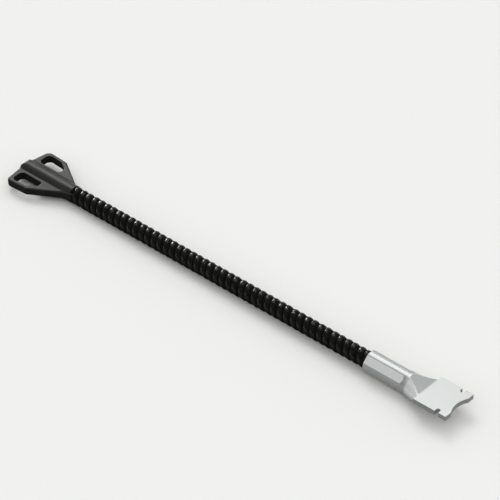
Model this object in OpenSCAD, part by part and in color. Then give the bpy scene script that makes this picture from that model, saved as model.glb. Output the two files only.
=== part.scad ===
// Masonry wall tie: a ribbed composite rod with a moulded fan for the mortar joint at one end
// and a crimped steel end, flattened to a notched palm, at the other.
// Millimetres. The tie lies along X, fan at -X and palm at +X, with its wide faces level.
// The origin is on the ground, under the middle of the tie.

/* [Overall] */
// Length of the tie from the fan's end to the palm's end
tie_len = 300; // [225:5:450]
// Clearance between the rod and the two pieces that hold it
fit_clear = 0.05; // [0.02:0.01:0.15]

/* [Ribbed rod] */
// Diameter over the crests of the ribs
rod_d = 9.5; // [8:0.1:10.5]
// Height of the ribs above the grooves
rib_h = 0.55; // [0.3:0.05:1]
// Width of a rib at its foot, along the rod
rib_w = 3.7; // [2:0.1:3.7]
// Fullness of a rib: 1 gives straight flanks, and more gives broad round crests
rib_fullness = 1.8; // [1:0.1:3]
// Distance from one crest to the next along the rod
rib_pitch = 4.4; // [3.8:0.1:7]
// Number of ribs that wind round the rod side by side
rib_starts = 2; // [1:1:3]
// Diameter of the plain core that the fan is moulded on
core_d = 6.4; // [5:0.1:7]
// Length of the core inside the fan
core_len = 24; // [12:1:30]
// Length of rod held in the crimped barrel
rod_grip = 21.5; // [14:0.5:22]

/* [Fan anchor] */
// Length of the fan from its far end to the mouth of its hub
fan_len = 37.6; // [36:0.1:45]
// Width of the fan at its far corners
fan_w = 33.4; // [27:0.1:44]
// Width of the fan where its sides bend inwards
bend_w = 31.6; // [25:0.1:40]
// Distance of that bend from the far end
bend_at = 16.2; // [13:0.1:18]
// Distance of the end of the taper from the far end
taper_end = 34.8; // [31:0.1:36]
// Thickness of the fan's plate
fan_t = 4.5; // [3:0.1:6]
// Diameter of the hub that runs along the fan
hub_d = 9.6; // [8.6:0.1:11]
// Radius of the fillet between hub and plate
hub_fillet = 2.4; // [1:0.1:3]
// Radius of the rounding over the hub's far end
hub_end_r = 2.4; // [0.5:0.1:2.5]
// Slant of the far end's two halves, in degrees
end_slant = 9; // [3:0.5:14]
// Radius that blends the far end's two halves
end_r = 60; // [40:1:80]
// Radius of the far corners
corner_r = 3.6; // [1:0.1:5]
// Radius of the bends in the sides
bend_r = 2; // [1:0.1:5]
// Radius that leads the taper into the hub
neck_r = 9; // [4:0.5:16]

/* [Mortar slots] */
// Distance of a slot's inner edge from the axis
slot_in = 6.3; // [5.6:0.1:7.5]
// Distance of a slot from the far end
slot_from_end = 4.3; // [3:0.1:6]
// Distance of a slot's rod end from the far end
slot_to = 19.6; // [17:0.1:21]
// Width of the rim outside a slot along the side
slot_rim = 2.2; // [1.2:0.1:3]
// Width of the rim outside a slot along the taper
taper_rim = 2.8; // [1.4:0.1:3.4]
// Radius of a slot's two corners at the far end
slot_far_r = 2.6; // [1:0.1:3]
// Radius of a slot's corners at the rod end
slot_rod_r = 1.9; // [0.6:0.1:2.2]

/* [Steel end] */
// Outer diameter of the barrel
barrel_d = 12.5; // [12:0.1:15]
// Length of the barrel
barrel_len = 25.2; // [24.6:0.1:40]
// Length of the neck between barrel and palm
neck_len = 10.9; // [8:0.1:20]
// Distance between opposite crimped flats
crimp_af = 11.7; // [11.4:0.1:11.9]
// Length of the crimped flats
crimp_len = 24; // [12:0.1:24.4]
// Radius of a flat's inner end
crimp_end_r = 2.6; // [2.4:0.1:4]
// Width of the neck where it joins the palm
neck_w = 18; // [15:0.1:19.6]
// Width of the neck's flat upper side where it joins the palm
neck_top_w = 12.2; // [8:0.1:14]
// Drop of the neck's side folds below a straight line, half way along
fold_drop = 1.5; // [0:0.1:2]
// How square the neck's upper corners are where it joins the palm, 0 for an oval
corner_fill = 0.5; // [0:0.05:0.7]

/* [Palm] */
// Length of the palm
palm_len = 20; // [16:0.5:30]
// Width of the palm
palm_w = 22; // [20:0.5:30]
// Thickness of the palm
palm_t = 2.7; // [2:0.1:4]
// Height of the palm's upper face above the rod's axis
palm_top = 3.8; // [3:0.1:5]
// Distance of the side nicks from the palm's end
nick_at = 5.7; // [4:0.1:8]
// Width of a side nick
nick_w = 2.4; // [1.5:0.1:3]
// Depth of a side nick
nick_depth = 2.7; // [1.5:0.1:4]
// Radius of the hollow in the palm's end
hollow_r = 13.5; // [9:0.5:20]
// Depth of the hollow in the palm's end
hollow_depth = 1.9; // [1:0.1:2.5]

/* [Hidden] */
$fn = 96;
over = 1;
seam = 0.03;
quarter_points = 9;
neck_rings = 12;
flare_power = 1.15;
rise_power = 2;
flat_share = 0.97;
fill_power = 3;

axis_z = barrel_d / 2;
x_fan = -tie_len / 2;
x_hub_mouth = x_fan + fan_len;
x_end = tie_len / 2;
x_palm = x_end - palm_len;
x_neck = x_palm - neck_len;
x_barrel = x_neck - barrel_len;

rod_r = rod_d / 2;
rib_len = x_barrel + rod_grip - x_hub_mouth - fit_clear;
rib_lead = rib_pitch * rib_starts;
rib_steps = 13;
flank_points = 3;
bore_r = rod_r + fit_clear;

hub_r = hub_d / 2;
fan_half_t = fan_t / 2;
hub_half_w = sqrt(hub_r * hub_r - fan_half_t * fan_half_t);
apex_x = x_fan - end_r * (1 / cos(end_slant) - 1);
corner = [apex_x + fan_w / 2 * tan(end_slant), fan_w / 2];
bend = [x_fan + bend_at, bend_w / 2];
taper = [x_fan + taper_end, hub_half_w];
side_dir = unit(bend - corner);
taper_dir = unit(taper - bend);
fillet_y = sqrt(pow(hub_r + hub_fillet, 2) - pow(fan_half_t + hub_fillet, 2));
fillet_z = fan_half_t + hub_fillet;

barrel_r = barrel_d / 2;
palm_bottom = palm_top - palm_t;
fold_z = palm_bottom + palm_t / 10;

// Helpers for outlines

function unit(v) = v / norm(v);
function left_of(v) = [-v[1], v[0]];
function cross2(a, b) = a[0] * b[1] - a[1] * b[0];

// Point where the line through p along u meets the line through q along v
function meet(p, u, q, v) = p + u * cross2(q - p, v) / cross2(u, v);

// Unit vectors from a corner b to its two neighbours, and how far a rounding of radius r reaches
function trim(u, v, r) = r * (1 + u * v) / abs(cross2(u, v));
function arc_centre(b, u, v, r) = b + unit(u + v) * r / sqrt((1 - u * v) / 2);

// Outline through corners [x, y, radius], counter-clockwise, with true arcs at the corners
module rounded_outline(corners) {
    n = len(corners);
    p = [for (c = corners) [c[0], c[1]]];
    r = [for (c = corners) c[2]];
    u = [for (i = [0 : n - 1]) unit(p[(i + n - 1) % n] - p[i])];
    v = [for (i = [0 : n - 1]) unit(p[(i + 1) % n] - p[i])];
    t = [for (i = [0 : n - 1]) r[i] == 0 ? 0 : trim(u[i], v[i], r[i])];
    convex = [for (i = [0 : n - 1]) cross2(v[i], u[i]) > 0];
    difference() {
        union() {
            polygon([for (i = [0 : n - 1])
                each r[i] == 0 ? [p[i]] : [p[i] + u[i] * t[i], p[i] + v[i] * t[i]]]);
            for (i = [0 : n - 1])
                if (r[i] > 0 && convex[i])
                    translate(arc_centre(p[i], u[i], v[i], r[i]))
                        circle(r[i]);
        }
        for (i = [0 : n - 1])
            if (r[i] > 0 && !convex[i])
                translate(arc_centre(p[i], u[i], v[i], r[i]))
                    circle(r[i]);
    }
}

function mirrored(corners) =
    [for (i = [len(corners) - 1 : -1 : 0]) [corners[i][0], -corners[i][1], corners[i][2]]];

// Lays a shape drawn along Z onto the rod's axis, starting at x
module along_axis(x) {
    translate([x, 0, axis_z])
        rotate([90, 0, 90])
            children();
}

// Ribbed rod

// Places across one rib, from foot to foot along the rod, and one in the groove beside it
rib_places = concat(
    [for (i = [-flank_points : flank_points]) rib_w / 2 * i / flank_points],
    [rib_pitch / 2]
);

function rib_radius(place) =
    rod_r - rib_h * pow(min(2 * abs(place) / rib_w, 1), rib_fullness);

// The section turns once in a lead, so a place along the rod is an angle in it
module rib_section() {
    polygon([for (start = [0 : rib_starts - 1], place = rib_places)
        let (a = 360 * (place + start * rib_pitch) / rib_lead)
        rib_radius(place) * [cos(a), sin(a)]]);
}

module ribbed_rod() {
    turns = rib_len / rib_lead;
    color([0.07, 0.07, 0.07])
        along_axis(x_hub_mouth + fit_clear) {
            linear_extrude(height = rib_len, twist = -360 * turns, slices = round(turns * rib_steps),
                           $fn = 0, $fs = rib_pitch)
                rib_section();
            translate([0, 0, -core_len])
                cylinder(d = core_d, h = core_len + over);
        }
}

// Fan anchor

// Outline of the plate from above, run on past the hub's mouth
module fan_plan() {
    arc_steps = 6;
    arc = [for (i = [arc_steps : -1 : -arc_steps])
        let (a = end_slant * i / arc_steps)
        [x_fan + end_r * (1 - cos(a)), end_r * sin(a), 0]];
    lower = [
        [corner[0], -corner[1], corner_r],
        [bend[0], -bend[1], bend_r],
        [taper[0], -taper[1], neck_r],
        [x_hub_mouth + neck_r, -taper[1], 0],
    ];
    rounded_outline(concat(arc, lower, mirrored(lower)));
}

// Outline of the hub from above, with the plate's far end
module hub_plan() {
    fan_plan();
    translate([bend[0], -hub_d])
        square([fan_len, 2 * hub_d]);
}

// Outline from the side, with the rounding over the hub's far end
module fan_profile() {
    rounded_outline([
        [x_fan, -hub_r, hub_end_r],
        [x_hub_mouth, -hub_r, 0],
        [x_hub_mouth, hub_r, 0],
        [x_fan, hub_r, hub_end_r],
    ]);
}

// Section across the plate, with the fillets that lead it into the hub
module fan_section() {
    square([fan_w + 2 * over, fan_t], center = true);
    for (side = [0, 1], face = [0, 1])
        mirror([side, 0])
            mirror([0, face])
                difference() {
                    polygon([[0, 0], [fillet_y, 0], [fillet_y, fillet_z]]);
                    translate([fillet_y, fillet_z])
                        circle(r = hub_fillet);
                }
}

module mortar_slot() {
    side_p = corner - left_of(side_dir) * slot_rim;
    taper_p = bend - left_of(taper_dir) * taper_rim;
    far_x = x_fan + slot_from_end;
    rod_x = x_fan + slot_to;
    rounded_outline([
        [far_x, slot_in, slot_far_r],
        [rod_x, slot_in, slot_rod_r],
        concat(meet([rod_x, 0], [0, 1], taper_p, taper_dir), slot_rod_r),
        concat(meet(side_p, side_dir, taper_p, taper_dir), bend_r),
        concat(meet([far_x, 0], [0, 1], side_p, side_dir), slot_far_r),
    ]);
}

module upright(outline_height = 2 * hub_d) {
    translate([0, 0, axis_z - outline_height / 2])
        linear_extrude(height = outline_height)
            children();
}

module fan_anchor() {
    color([0.17, 0.17, 0.17])
        difference() {
            intersection() {
                union() {
                    intersection() {
                        along_axis(x_fan - over)
                            linear_extrude(height = fan_len + over)
                                fan_section();
                        upright()
                            fan_plan();
                    }
                    intersection() {
                        along_axis(x_fan - over)
                            cylinder(r = hub_r, h = fan_len + over);
                        upright()
                            hub_plan();
                    }
                }
                translate([0, fan_w, axis_z])
                    rotate([90, 0, 0])
                        linear_extrude(height = 2 * fan_w)
                            fan_profile();
            }
            for (side = [0, 1])
                mirror([0, side, 0])
                    upright()
                        mortar_slot();
            along_axis(x_hub_mouth - core_len - fit_clear)
                cylinder(r = core_d / 2 + fit_clear, h = core_len + fit_clear + over);
        }
}

// Steel end

// Quarter of an oval from angle 0 to 90 degrees, set out from a flat of half width flat.
// A power of 1 gives a true oval, and a lower one a squarer corner.
function quarter(flat, reach, height, power = 1) =
    [for (i = [0 : quarter_points])
        let (a = 90 * i / quarter_points)
        [flat + (reach - flat) * pow(cos(a), power), height * pow(sin(a), power)]];

// Section of the neck at share s of its length: the barrel's circle, pressed flat towards the palm.
// It folds at its widest, between a flat upper side that widens evenly and a lower side that closes up.
function neck_section(s) =
    let (
        reach = barrel_r + (neck_w / 2 - barrel_r) * pow(s, flare_power),
        fold = fold_z * s - 4 * fold_drop * s * (1 - s),
        top = barrel_r + (palm_top - barrel_r) * s,
        bottom = -barrel_r + (palm_bottom + barrel_r) * pow(s, rise_power),
        upper = quarter(neck_top_w / 2 * s, reach, top - fold, 1 - corner_fill * pow(s, fill_power)),
        lower = quarter(reach * flat_share * s, reach, fold - bottom),
        last = quarter_points
    )
    concat(
        [for (i = [0 : last]) [upper[i][0], fold + upper[i][1]]],
        [for (i = [last : -1 : 0]) [-upper[i][0], fold + upper[i][1]]],
        [for (i = [1 : last]) [-lower[i][0], fold - lower[i][1]]],
        [for (i = [last : -1 : 1]) [lower[i][0], fold - lower[i][1]]]
    );

// Solid skinned over rings of points, each ring given as [x, points]
module skinned(rings) {
    n = len(rings[0][1]);
    m = len(rings);
    points = [for (ring = rings, p = ring[1]) [ring[0], p[0], p[1]]];
    sides = [for (j = [0 : m - 2], i = [0 : n - 1])
        let (a = j * n + i, b = j * n + (i + 1) % n)
        each [[a, a + n, b], [b, a + n, b + n]]];
    caps = [[for (i = [0 : n - 1]) i], [for (i = [n - 1 : -1 : 0]) (m - 1) * n + i]];
    polyhedron(points, concat(sides, caps), convexity = 4);
}

// The neck runs a little way into the barrel and into the palm, inside their faces
module neck() {
    start = [for (p = neck_section(0)) p * (1 - seam / barrel_r)];
    middle = (palm_top + palm_bottom) / 2;
    finish = [for (p = neck_section(1)) [p[0], middle + (p[1] - middle) * (1 - 2 * seam / palm_t)]];
    translate([0, 0, axis_z])
        skinned(concat(
            [[x_neck - over, start]],
            [for (j = [1 : neck_rings - 1]) [x_neck + neck_len * j / neck_rings, neck_section(j / neck_rings)]],
            [[x_palm + over / 2, finish]]
        ));
}

module palm_plan() {
    hollow_x = x_end - hollow_depth + hollow_r;
    difference() {
        translate([x_palm, -palm_w / 2])
            square([palm_len, palm_w]);
        translate([hollow_x, 0])
            circle(r = hollow_r);
        for (side = [0, 1])
            mirror([0, side]) {
                reach = palm_w / 2 - nick_depth + nick_w / 2;
                translate([x_end - nick_at, reach])
                    circle(d = nick_w);
                translate([x_end - nick_at - nick_w / 2, reach])
                    square([nick_w, palm_w]);
            }
    }
}

// Flats pressed into the barrel by the four jaws of the crimping die
module crimp_flats() {
    for (turn = [45 : 90 : 315])
        translate([0, 0, axis_z])
            rotate([turn, 0, 0])
                translate([0, 0, crimp_af / 2]) {
                    translate([x_barrel - over, -crimp_end_r, 0])
                        cube([crimp_len - crimp_end_r + over, 2 * crimp_end_r, barrel_r]);
                    translate([x_barrel + crimp_len - crimp_end_r, 0, 0])
                        cylinder(r = crimp_end_r, h = barrel_r);
                }
}

module steel_end() {
    color([0.78, 0.79, 0.79])
        difference() {
            union() {
                along_axis(x_barrel)
                    cylinder(r = barrel_r, h = barrel_len);
                neck();
                translate([0, 0, axis_z + palm_bottom])
                    linear_extrude(height = palm_t)
                        palm_plan();
            }
            crimp_flats();
            along_axis(x_barrel - over)
                cylinder(r = bore_r, h = rod_grip + fit_clear + over);
        }
}

ribbed_rod();
fan_anchor();
steel_end();
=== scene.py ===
import math

import bmesh
import bpy
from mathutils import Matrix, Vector


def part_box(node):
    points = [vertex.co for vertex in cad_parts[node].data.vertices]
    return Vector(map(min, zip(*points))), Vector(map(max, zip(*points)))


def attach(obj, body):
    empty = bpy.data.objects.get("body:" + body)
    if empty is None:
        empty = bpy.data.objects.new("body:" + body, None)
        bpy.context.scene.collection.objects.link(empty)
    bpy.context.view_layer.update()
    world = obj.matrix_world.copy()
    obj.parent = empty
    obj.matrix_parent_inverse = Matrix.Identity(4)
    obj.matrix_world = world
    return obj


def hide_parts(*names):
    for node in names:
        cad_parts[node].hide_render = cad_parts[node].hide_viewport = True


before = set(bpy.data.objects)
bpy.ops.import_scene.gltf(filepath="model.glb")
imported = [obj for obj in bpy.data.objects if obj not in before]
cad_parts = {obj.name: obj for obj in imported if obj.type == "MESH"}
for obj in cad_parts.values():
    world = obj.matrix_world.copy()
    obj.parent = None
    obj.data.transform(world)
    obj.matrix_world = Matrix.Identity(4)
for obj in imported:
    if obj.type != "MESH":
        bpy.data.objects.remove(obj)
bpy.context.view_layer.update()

MM = 0.001

# Places of the tie in metres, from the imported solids
rod_lo, rod_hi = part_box("ribbed_rod")
fan_lo, fan_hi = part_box("fan_anchor")
steel_lo, steel_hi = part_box("steel_end")
AXIS_Z = (rod_lo.z + rod_hi.z) / 2
ROD_R = (rod_hi.z - rod_lo.z) / 2
ROD_END = rod_hi.x
CORE_END = rod_lo.x
MOUTH = fan_hi.x
PALM_END = steel_hi.x

# Clearance between the fan's mouth and the first rib
MOUTH_GAP = 0.05 * MM
# The rod's plain core, and the two ribs wound round it
CORE_R = 3.2 * MM
RIB_PITCH = 4.4 * MM
RIB_STARTS = 2
RIB_LEAD = RIB_PITCH * RIB_STARTS
RIB_H = 0.55 * MM
RIB_FOOT = 3.7 * MM
# Power in the rib's rounded section, where more makes a fuller crest
RIB_FULLNESS = 1.8
# The second rib lies a little off the middle between the turns of the first
RIB_SHIFT = -0.3 * MM

# Rounding of the fan's outline, and the shares of it that the mouth's and the inner edges take
FAN_EDGE = 0.9 * MM
MOUTH_SHARE = 0.1
INNER_SHARE = 0.3
# Bands along the fan's sides, far end and mouth, which tell the outline's and the mouth's edges
SIDE_BAND = 1.6 * MM
END_BAND = 3.2 * MM
MOUTH_BAND = 0.1 * MM
# Half the width that the fan would have if its taper went on to the far end
TAPER_HALF_W = 1.6 * fan_hi.y

# Rounding of the steel's edges
STEEL_EDGE = 0.15 * MM
PALM_LEN = 20 * MM
NECK_LEN = 10.9 * MM
PALM_START = PALM_END - PALM_LEN
NECK_START = PALM_START - NECK_LEN
# The end of the barrel's crest, where a painted glint sits, and how far the glint reaches
CREST_END = Vector((NECK_START, 0, steel_hi.z))
GLINT_FULL = 0.9 * MM
GLINT_REACH = 2.4 * MM
# How much painted highlight each part of the steel gets, where 1 is as bright as the crimped flats
PALM_PAINTED_LIGHT = 0.6
FLANK_PAINTED_LIGHT = 0.88
SLOPE_PAINTED_LIGHT = 0.32
CREST_PAINTED_LIGHT = 0.5
# The stretch next to the barrel over which the painted highlight on the neck's flanks grows
FLANK_FADE = 2 * MM

# A face is upright where its normal rises or falls by less than this
UPRIGHT = 0.5


def srgb(code):
    """Linear colour of an sRGB hex value."""
    parts = [int(code[i : i + 2], 16) / 255 for i in (1, 3, 5)]
    linear = [v / 12.92 if v <= 0.04045 else ((v + 0.055) / 1.055) ** 2.4 for v in parts]
    return (*linear, 1.0)


def part_of(value, low, high):
    """Share of the way from low to high, kept between 0 and 1."""
    return min(1.0, max(0.0, (value - low) / (high - low)))


def add(tree, kind, links=None, **settings):
    """Adds a node. Settings are its own properties, links are values or sockets for its inputs."""
    node = tree.nodes.new(kind)
    for name, value in settings.items():
        setattr(node, name, value)
    for key, value in (links or {}).items():
        if isinstance(value, bpy.types.NodeSocket):
            tree.links.new(value, node.inputs[key])
        else:
            node.inputs[key].default_value = value
    return node


def new_material(name):
    """Empty node material with its output node."""
    material = bpy.data.materials.new(name)
    material.use_nodes = True
    tree = material.node_tree
    tree.nodes.clear()
    return material, tree, add(tree, "ShaderNodeOutputMaterial")


def moulded_nylon():
    """Glass-filled black nylon, moulded: a matt skin with a fine grain that scatters the light."""
    material, tree, out = new_material("moulded_nylon")
    place = add(tree, "ShaderNodeTexCoord").outputs["Object"]
    # The mould's grain, finer on the real one, is drawn 0.35 mm across so that it shows
    grain = add(tree, "ShaderNodeTexNoise", {"Vector": place, "Scale": 1 / (0.35 * MM), "Detail": 3.0})
    # The melt flowed in soft clouds about 9 mm across
    cloud = add(tree, "ShaderNodeTexNoise", {"Vector": place, "Scale": 1 / (9 * MM), "Detail": 2.0})
    flow = add(tree, "ShaderNodeMapRange", {"Value": cloud.outputs["Fac"], "From Min": 0.3, "From Max": 0.7})
    tone = add(
        tree,
        "ShaderNodeMix",
        {"Factor": flow.outputs["Result"], "A": srgb("#1a1a19"), "B": srgb("#212120")},
        data_type="RGBA",
    )
    rough = add(tree, "ShaderNodeMapRange", {"Value": grain.outputs["Fac"], "To Min": 0.36, "To Max": 0.46})
    # The side walls come from a rougher part of the mould and hardly shine
    wall = add(tree, "ShaderNodeAttribute", attribute_name="side_wall").outputs["Fac"]
    rough = add(tree, "ShaderNodeMix", {"Factor": wall, "A": rough.outputs["Result"], "B": 0.85})
    shine = add(tree, "ShaderNodeMapRange", {"Value": wall, "To Min": 0.5, "To Max": 0.12})
    bump = add(
        tree,
        "ShaderNodeBump",
        {"Height": grain.outputs["Fac"], "Strength": 0.12, "Distance": 0.05 * MM},
    )
    skin = add(
        tree,
        "ShaderNodeBsdfPrincipled",
        {
            "Base Color": tone.outputs["Result"],
            "Roughness": rough.outputs["Result"],
            "Normal": bump.outputs["Normal"],
            "IOR": 1.6,
            "Specular IOR Level": shine.outputs["Result"],
        },
    )
    tree.links.new(skin.outputs["BSDF"], out.inputs["Surface"])
    return material


def wound_resin():
    """Black resin over wound fibre: deep black, glossy, with soft lumps from the fibre bundles."""
    material, tree, out = new_material("wound_resin")
    place = add(tree, "ShaderNodeTexCoord").outputs["Object"]
    # Fibre bundles about 1 mm wide, drawn as soft lumps in the resin
    lumps = add(tree, "ShaderNodeTexNoise", {"Vector": place, "Scale": 1 / (1.1 * MM), "Detail": 2.0})
    # The gloss is uneven in spots about 0.4 mm across
    fine = add(tree, "ShaderNodeTexNoise", {"Vector": place, "Scale": 1 / (0.4 * MM), "Detail": 2.0})
    depth = add(tree, "ShaderNodeMapRange", {"Value": lumps.outputs["Fac"], "From Min": 0.3, "From Max": 0.7})
    tone = add(
        tree,
        "ShaderNodeMix",
        {"Factor": depth.outputs["Result"], "A": srgb("#090908"), "B": srgb("#141412")},
        data_type="RGBA",
    )
    rough = add(tree, "ShaderNodeMapRange", {"Value": fine.outputs["Fac"], "To Min": 0.14, "To Max": 0.26})
    # The grooves are dull, and the sides and underside are made dull as painted shade, which takes away their
    # reflections
    dull_grooves_shaded_underside = add(tree, "ShaderNodeAttribute", attribute_name="dull_grooves_shaded_underside").outputs["Fac"]
    rough = add(tree, "ShaderNodeMix", {"Factor": dull_grooves_shaded_underside, "A": rough.outputs["Result"], "B": 0.6})
    shine = add(tree, "ShaderNodeMapRange", {"Value": dull_grooves_shaded_underside, "To Min": 0.5, "To Max": 0.05})
    bump = add(
        tree,
        "ShaderNodeBump",
        {"Height": lumps.outputs["Fac"], "Strength": 0.7, "Distance": 0.3 * MM},
    )
    skin = add(
        tree,
        "ShaderNodeBsdfPrincipled",
        {
            "Base Color": tone.outputs["Result"],
            "Roughness": rough.outputs["Result"],
            "Normal": bump.outputs["Normal"],
            "IOR": 1.3,
            "Specular IOR Level": shine.outputs["Result"],
        },
    )
    tree.links.new(skin.outputs["BSDF"], out.inputs["Surface"])
    return material


def satin_steel():
    """Stainless steel tube, drawn, crimped and flattened: satin, with lines along it, dull cut edges and
    painted highlights.
    """
    material, tree, out = new_material("satin_steel")
    place = add(tree, "ShaderNodeTexCoord").outputs["Object"]
    # Drawing lines along the tube, set 0.25 mm apart, coarser than real ones, so that they show
    stretched = add(tree, "ShaderNodeMapping", {"Vector": place, "Scale": (0.06, 1.0, 1.0)})
    lines = add(
        tree,
        "ShaderNodeTexNoise",
        {"Vector": stretched.outputs["Vector"], "Scale": 1 / (0.25 * MM), "Detail": 2.0},
    )
    # Faint stains about 6 mm across from the rolling
    cloud = add(tree, "ShaderNodeTexNoise", {"Vector": place, "Scale": 1 / (6 * MM), "Detail": 3.0})
    stain = add(tree, "ShaderNodeMapRange", {"Value": cloud.outputs["Fac"], "From Min": 0.3, "From Max": 0.7})
    drawn = add(
        tree,
        "ShaderNodeMix",
        {"Factor": stain.outputs["Result"], "A": srgb("#9ea3a1"), "B": srgb("#a6aaa9")},
        data_type="RGBA",
    )
    # Painted highlights: the crimped flats, palm, crest, upward neck flanks and a glint at the crest's end
    # are painted brighter in place of the light they would catch
    pressed_share = add(tree, "ShaderNodeAttribute", attribute_name="pressed").outputs["Fac"]
    highlighted_tone = add(
        tree,
        "ShaderNodeMix",
        {"Factor": pressed_share, "A": drawn.outputs["Result"], "B": srgb("#e6e9e8")},
        data_type="RGBA",
    )
    # The shear left the cut edges darker and rougher
    sheared = add(tree, "ShaderNodeAttribute", attribute_name="cut_edge").outputs["Fac"]
    tone = add(
        tree,
        "ShaderNodeMix",
        {"Factor": sheared, "A": highlighted_tone.outputs["Result"], "B": srgb("#949896")},
        data_type="RGBA",
    )
    rough = add(tree, "ShaderNodeMapRange", {"Value": lines.outputs["Fac"], "To Min": 0.16, "To Max": 0.26})
    rough = add(tree, "ShaderNodeMix", {"Factor": sheared, "A": rough.outputs["Result"], "B": 0.5})
    bump = add(
        tree,
        "ShaderNodeBump",
        {"Height": lines.outputs["Fac"], "Strength": 0.06, "Distance": 0.02 * MM},
    )
    skin = add(
        tree,
        "ShaderNodeBsdfPrincipled",
        {
            "Base Color": tone.outputs["Result"],
            "Metallic": 0.22,
            "Roughness": rough.outputs["Result"],
            "Normal": bump.outputs["Normal"],
        },
    )
    tree.links.new(skin.outputs["BSDF"], out.inputs["Surface"])
    return material


def piece_from(bm, name, material):
    """Object at the origin with the finished mesh."""
    mesh = bpy.data.meshes.new(name)
    bm.to_mesh(mesh)
    bm.free()
    for polygon in mesh.polygons:
        polygon.use_smooth = True
    mesh.materials.append(material)
    piece = bpy.data.objects.new(name, mesh)
    bpy.context.collection.objects.link(piece)
    return piece


def rib_radius(angle):
    """Radius of the rod's section: two broad ribs with rounded crests and a narrow groove between them."""
    places = (0.0, RIB_PITCH + RIB_SHIFT, RIB_LEAD)
    along = (angle / math.tau) % 1.0 * RIB_LEAD
    off = min(abs(along - place) for place in places)
    share = min(off / (RIB_FOOT / 2), 1.0)
    return ROD_R - RIB_H * share**RIB_FULLNESS


def wound_rod(material):
    """The ribbed rod: a ring of its section is spun along one lead, and the lead is repeated."""
    around = 72
    steps = 44
    start = MOUTH + MOUTH_GAP
    leads = math.ceil((ROD_END - start) / RIB_LEAD)
    bm = bmesh.new()
    bmesh.ops.create_circle(bm, cap_ends=False, segments=around, radius=ROD_R)
    for vert in bm.verts:
        angle = math.atan2(vert.co.y, vert.co.x)
        radius = rib_radius(angle)
        vert.co = Vector((start, radius * math.cos(angle), AXIS_Z + radius * math.sin(angle)))
    bmesh.ops.spin(
        bm,
        geom=bm.verts[:] + bm.edges[:],
        cent=(0, 0, AXIS_Z),
        axis=(1, 0, 0),
        dvec=(RIB_LEAD / steps, 0, 0),
        angle=math.tau,
        steps=steps,
        use_merge=False,
    )
    first = bm.verts[:] + bm.edges[:] + bm.faces[:]
    for turn in range(1, leads):
        copy = bmesh.ops.duplicate(bm, geom=first)["geom"]
        moved = [v for v in copy if isinstance(v, bmesh.types.BMVert)]
        bmesh.ops.translate(bm, verts=moved, vec=(RIB_LEAD * turn, 0, 0))
    bmesh.ops.remove_doubles(bm, verts=bm.verts[:], dist=0.002 * MM)
    bmesh.ops.bisect_plane(
        bm,
        geom=bm.verts[:] + bm.edges[:] + bm.faces[:],
        plane_co=(ROD_END, 0, 0),
        plane_no=(1, 0, 0),
        clear_outer=True,
    )
    # The plain core goes on from the first ring into the fan
    rim = [e for e in bm.edges if e.is_boundary and e.verts[0].co.x < (start + ROD_END) / 2]
    for reach in (start, CORE_END):
        rim = bmesh.ops.extrude_edge_only(bm, edges=rim)["geom"]
        for vert in (v for v in rim if isinstance(v, bmesh.types.BMVert)):
            angle = math.atan2(vert.co.z - AXIS_Z, vert.co.y)
            vert.co = Vector((reach, CORE_R * math.cos(angle), AXIS_Z + CORE_R * math.sin(angle)))
        rim = [e for e in rim if isinstance(e, bmesh.types.BMEdge)]
    bmesh.ops.holes_fill(bm, edges=[e for e in bm.edges if e.is_boundary], sides=0)
    bmesh.ops.recalc_face_normals(bm, faces=bm.faces[:])
    return piece_from(bm, "rod", material)


def softened(node, name, material, width, share=None):
    """Copy of a solid with its sharp edges rounded over by a width, or each by its share of that width."""
    sharp_angle = math.radians(35)
    bm = bmesh.new()
    bm.from_mesh(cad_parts[node].data)
    bmesh.ops.remove_doubles(bm, verts=bm.verts[:], dist=0.001 * MM)
    bmesh.ops.dissolve_limit(bm, angle_limit=math.radians(0.5), verts=bm.verts[:], edges=bm.edges[:])
    bmesh.ops.recalc_face_normals(bm, faces=bm.faces[:])
    shares = [share(e) if share and e.calc_face_angle(0.0) > sharp_angle else 0.0 for e in bm.edges]
    piece = piece_from(bm, name, material)
    piece.data.set_sharp_from_angle(angle=math.radians(15))
    bevel = piece.modifiers.new("edges", "BEVEL")
    bevel.width = width
    bevel.segments = 3
    bevel.limit_method = "ANGLE"
    bevel.angle_limit = sharp_angle
    if share:
        weights = piece.data.attributes.new("bevel_weight_edge", "FLOAT", "EDGE")
        for weight, value in zip(weights.data, shares):
            weight.value = value
        bevel.limit_method = "WEIGHT"
        bevel.use_clamp_overlap = False
    even = piece.modifiers.new("even_shading", "WEIGHTED_NORMAL")
    even.keep_sharp = True
    even.weight = 100
    return piece


def fan_rounding(edge):
    """Share of the rounding on an edge of the fan: all on the outline, less inside it and at the mouth."""
    middle = (edge.verts[0].co + edge.verts[1].co) / 2
    if middle.x > MOUTH - MOUTH_BAND:
        return MOUTH_SHARE
    half_w = min(fan_hi.y, TAPER_HALF_W * (MOUTH - middle.x) / (MOUTH - fan_lo.x))
    on_side = abs(middle.y) > half_w - SIDE_BAND
    on_end = middle.x < fan_lo.x + END_BAND
    return 1.0 if on_side or on_end else INNER_SHARE


def mark_faces(piece, name, level):
    """Gives each face a level that the material reads, from the face's middle and its normal."""
    marks = piece.data.attributes.new(name, "FLOAT", "FACE")
    for polygon in piece.data.polygons:
        marks.data[polygon.index].value = level(polygon.center, polygon.normal)


def dull_grooves_shaded_underside(centre, normal):
    """How dull a face of the rod is: dull in the grooves, and on the sides and underneath as painted shade.
    """
    depth = ROD_R - math.hypot(centre.y, centre.z - AXIS_Z)
    in_groove = part_of(depth / RIB_H, 0.4, 0.8)
    # Painted shade: the sides and underside are made dull by which way they face
    turned_down = part_of(normal.z, 0.4, -0.1)
    return max(in_groove, turned_down)


def side_wall(centre, normal):
    """Upright walls of the fan."""
    return float(abs(normal.z) < UPRIGHT)


def cut_edge(centre, normal):
    """Upright faces of the palm, which were sheared and are duller than the rolled faces."""
    return float(abs(normal.z) < UPRIGHT and centre.x > PALM_START)


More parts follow.
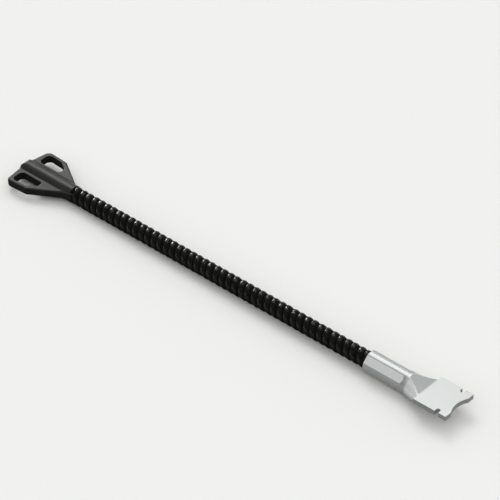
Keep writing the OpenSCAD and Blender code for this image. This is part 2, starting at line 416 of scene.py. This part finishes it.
def pressed(centre, normal):
    """Share of painted highlight on a face of the steel: most on the crimped flats and in the painted glint
    at the crest's end.
    """
    along = centre.x - NECK_START
    on_palm = along > NECK_LEN
    on_neck = along > 0 and not on_palm
    level_face = abs(normal.z) > 0.99
    crimped_flat = abs(normal.x) < 0.02 and abs(abs(normal.y) - abs(normal.z)) < 0.02
    glint = part_of((centre - CREST_END).length, GLINT_REACH, GLINT_FULL)
    # Every level below is painted highlight, standing in for light that the steel would catch
    if on_palm:
        return PALM_PAINTED_LIGHT * level_face
    if glint > 0:
        return max(glint, SLOPE_PAINTED_LIGHT)
    # Painted light: the neck's flanks are brighter the more they face up
    if on_neck and normal.z < 0.9:
        facing_up = part_of(normal.z, -0.15, 0.15)
        return FLANK_PAINTED_LIGHT * facing_up * part_of(along, 0, FLANK_FADE)
    if crimped_flat:
        return 1.0
    if on_neck:
        return SLOPE_PAINTED_LIGHT
    # Painted highlight along the top of the barrel's crest
    near_crest = part_of(normal.z, 0.93, 0.99)
    return CREST_PAINTED_LIGHT * near_crest


nylon = moulded_nylon()
resin = wound_resin()
steel = satin_steel()
for node, material in (("ribbed_rod", resin), ("fan_anchor", nylon), ("steel_end", steel)):
    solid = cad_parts[node]
    solid.data.materials.clear()
    solid.data.materials.append(material)

rod = wound_rod(resin)
fan = softened("fan_anchor", "fan", nylon, FAN_EDGE, fan_rounding)
end = softened("steel_end", "steel_tube", steel, STEEL_EDGE)
mark_faces(rod, "dull_grooves_shaded_underside", dull_grooves_shaded_underside)
mark_faces(fan, "side_wall", side_wall)
mark_faces(end, "cut_edge", cut_edge)
mark_faces(end, "pressed", pressed)
for piece, node, slot in (
    (rod, "ribbed_rod", "rod_black"),
    (fan, "fan_anchor", "fan_black"),
    (end, "steel_end", "steel"),
):
    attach(piece, "root")
    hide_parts(node)


# Floor, light and camera
def pale_floor():
    """Plain pale paper. It throws little light back onto the tie, but looks pale, in the steel too."""
    material, tree, out = new_material("pale_paper")
    path = add(tree, "ShaderNodeLightPath").outputs
    seen = path["Is Camera Ray"]
    for ray in ("Is Glossy Ray", "Is Transmission Ray"):
        seen = add(tree, "ShaderNodeMath", {0: seen, 1: path[ray]}, operation="MAXIMUM").outputs["Value"]
    bounce = add(tree, "ShaderNodeBsdfDiffuse", {"Color": srgb("#70706f")}).outputs["BSDF"]
    paper = add(tree, "ShaderNodeBsdfDiffuse", {"Color": srgb("#eeeeec")}).outputs["BSDF"]
    mix = add(tree, "ShaderNodeMixShader", {"Fac": seen, 1: bounce, 2: paper})
    tree.links.new(mix.outputs["Shader"], out.inputs["Surface"])
    bm = bmesh.new()
    bmesh.ops.create_grid(bm, x_segments=1, y_segments=1, size=6.0)
    # The tie lies on its barrel and on the far end of the fan's hub, so the floor slopes a little along it
    slope = (fan_lo.z - steel_lo.z) / (steel_lo.x - fan_lo.x)
    for vert in bm.verts:
        vert.co.z = steel_lo.z + slope * (steel_lo.x - vert.co.x)
    return piece_from(bm, "floor", material)


floor = pale_floor()


def studio(even, level, towards, outer, inner):
    """Even light all round, and a soft box with a level, a direction and the cosines of its blurred edge."""
    world = bpy.data.worlds.new("studio")
    world.use_nodes = True
    tree = world.node_tree
    tree.nodes.clear()
    way = add(tree, "ShaderNodeTexCoord").outputs["Generated"]
    middle = Vector(towards).normalized()
    spread = add(tree, "ShaderNodeVectorMath", {0: way, 1: middle}, operation="DOT_PRODUCT")
    glow = add(
        tree,
        "ShaderNodeMapRange",
        {
            "Value": spread.outputs["Value"],
            "From Min": outer,
            "From Max": inner,
            "To Min": even,
            "To Max": even + level,
        },
        interpolation_type="SMOOTHSTEP",
    )
    sky = add(tree, "ShaderNodeBackground", {"Color": srgb("#fffffd"), "Strength": glow.outputs["Result"]})
    add(tree, "ShaderNodeOutputWorld", {"Surface": sky.outputs["Background"]})
    return world


def sun(name, towards, energy, spread, shine):
    """A broad lamp far off, which gives a surface either its shine or its plain brightness."""
    light = bpy.data.lights.new(name, "SUN")
    light.energy = energy
    light.angle = math.radians(spread)
    lamp = bpy.data.objects.new(name, light)
    lamp.rotation_euler = Vector(towards).to_track_quat("Z", "Y").to_euler()
    lamp.visible_glossy = shine
    lamp.visible_diffuse = not shine
    bpy.context.collection.objects.link(lamp)


# The soft box stands high at the back left
bpy.context.scene.world = studio(
    even=0.2,
    level=2.7,
    towards=(-0.5247, 0.347, 0.777),
    outer=0.9426,
    inner=0.968,
)
# Plain brightness comes from above and a little from the front, and shine also from low under the soft box
sun("key", towards=(0.0, 0.18, 1.0), energy=1.95, spread=170, shine=False)
sun("fill", towards=(0.25, -0.8, 0.6), energy=0.2, spread=60, shine=False)
sun("low_lamp", towards=(-0.885, 0.43, 0.15), energy=1.73, spread=17.8, shine=True)

# The camera looks down on the tie from the front right, as fitted to the photograph
camera = bpy.data.cameras.new("camera")
camera.sensor_width = 36.0
camera.lens = 197.2
eye = bpy.data.objects.new("camera", camera)
eye.location = (0.73913, -0.81042, 0.88986)
eye.rotation_euler = (math.radians(90 - 38.181), 0, math.radians(41.835))
bpy.context.collection.objects.link(eye)
bpy.context.scene.camera = eye
bpy.context.scene.view_settings.view_transform = "Standard"
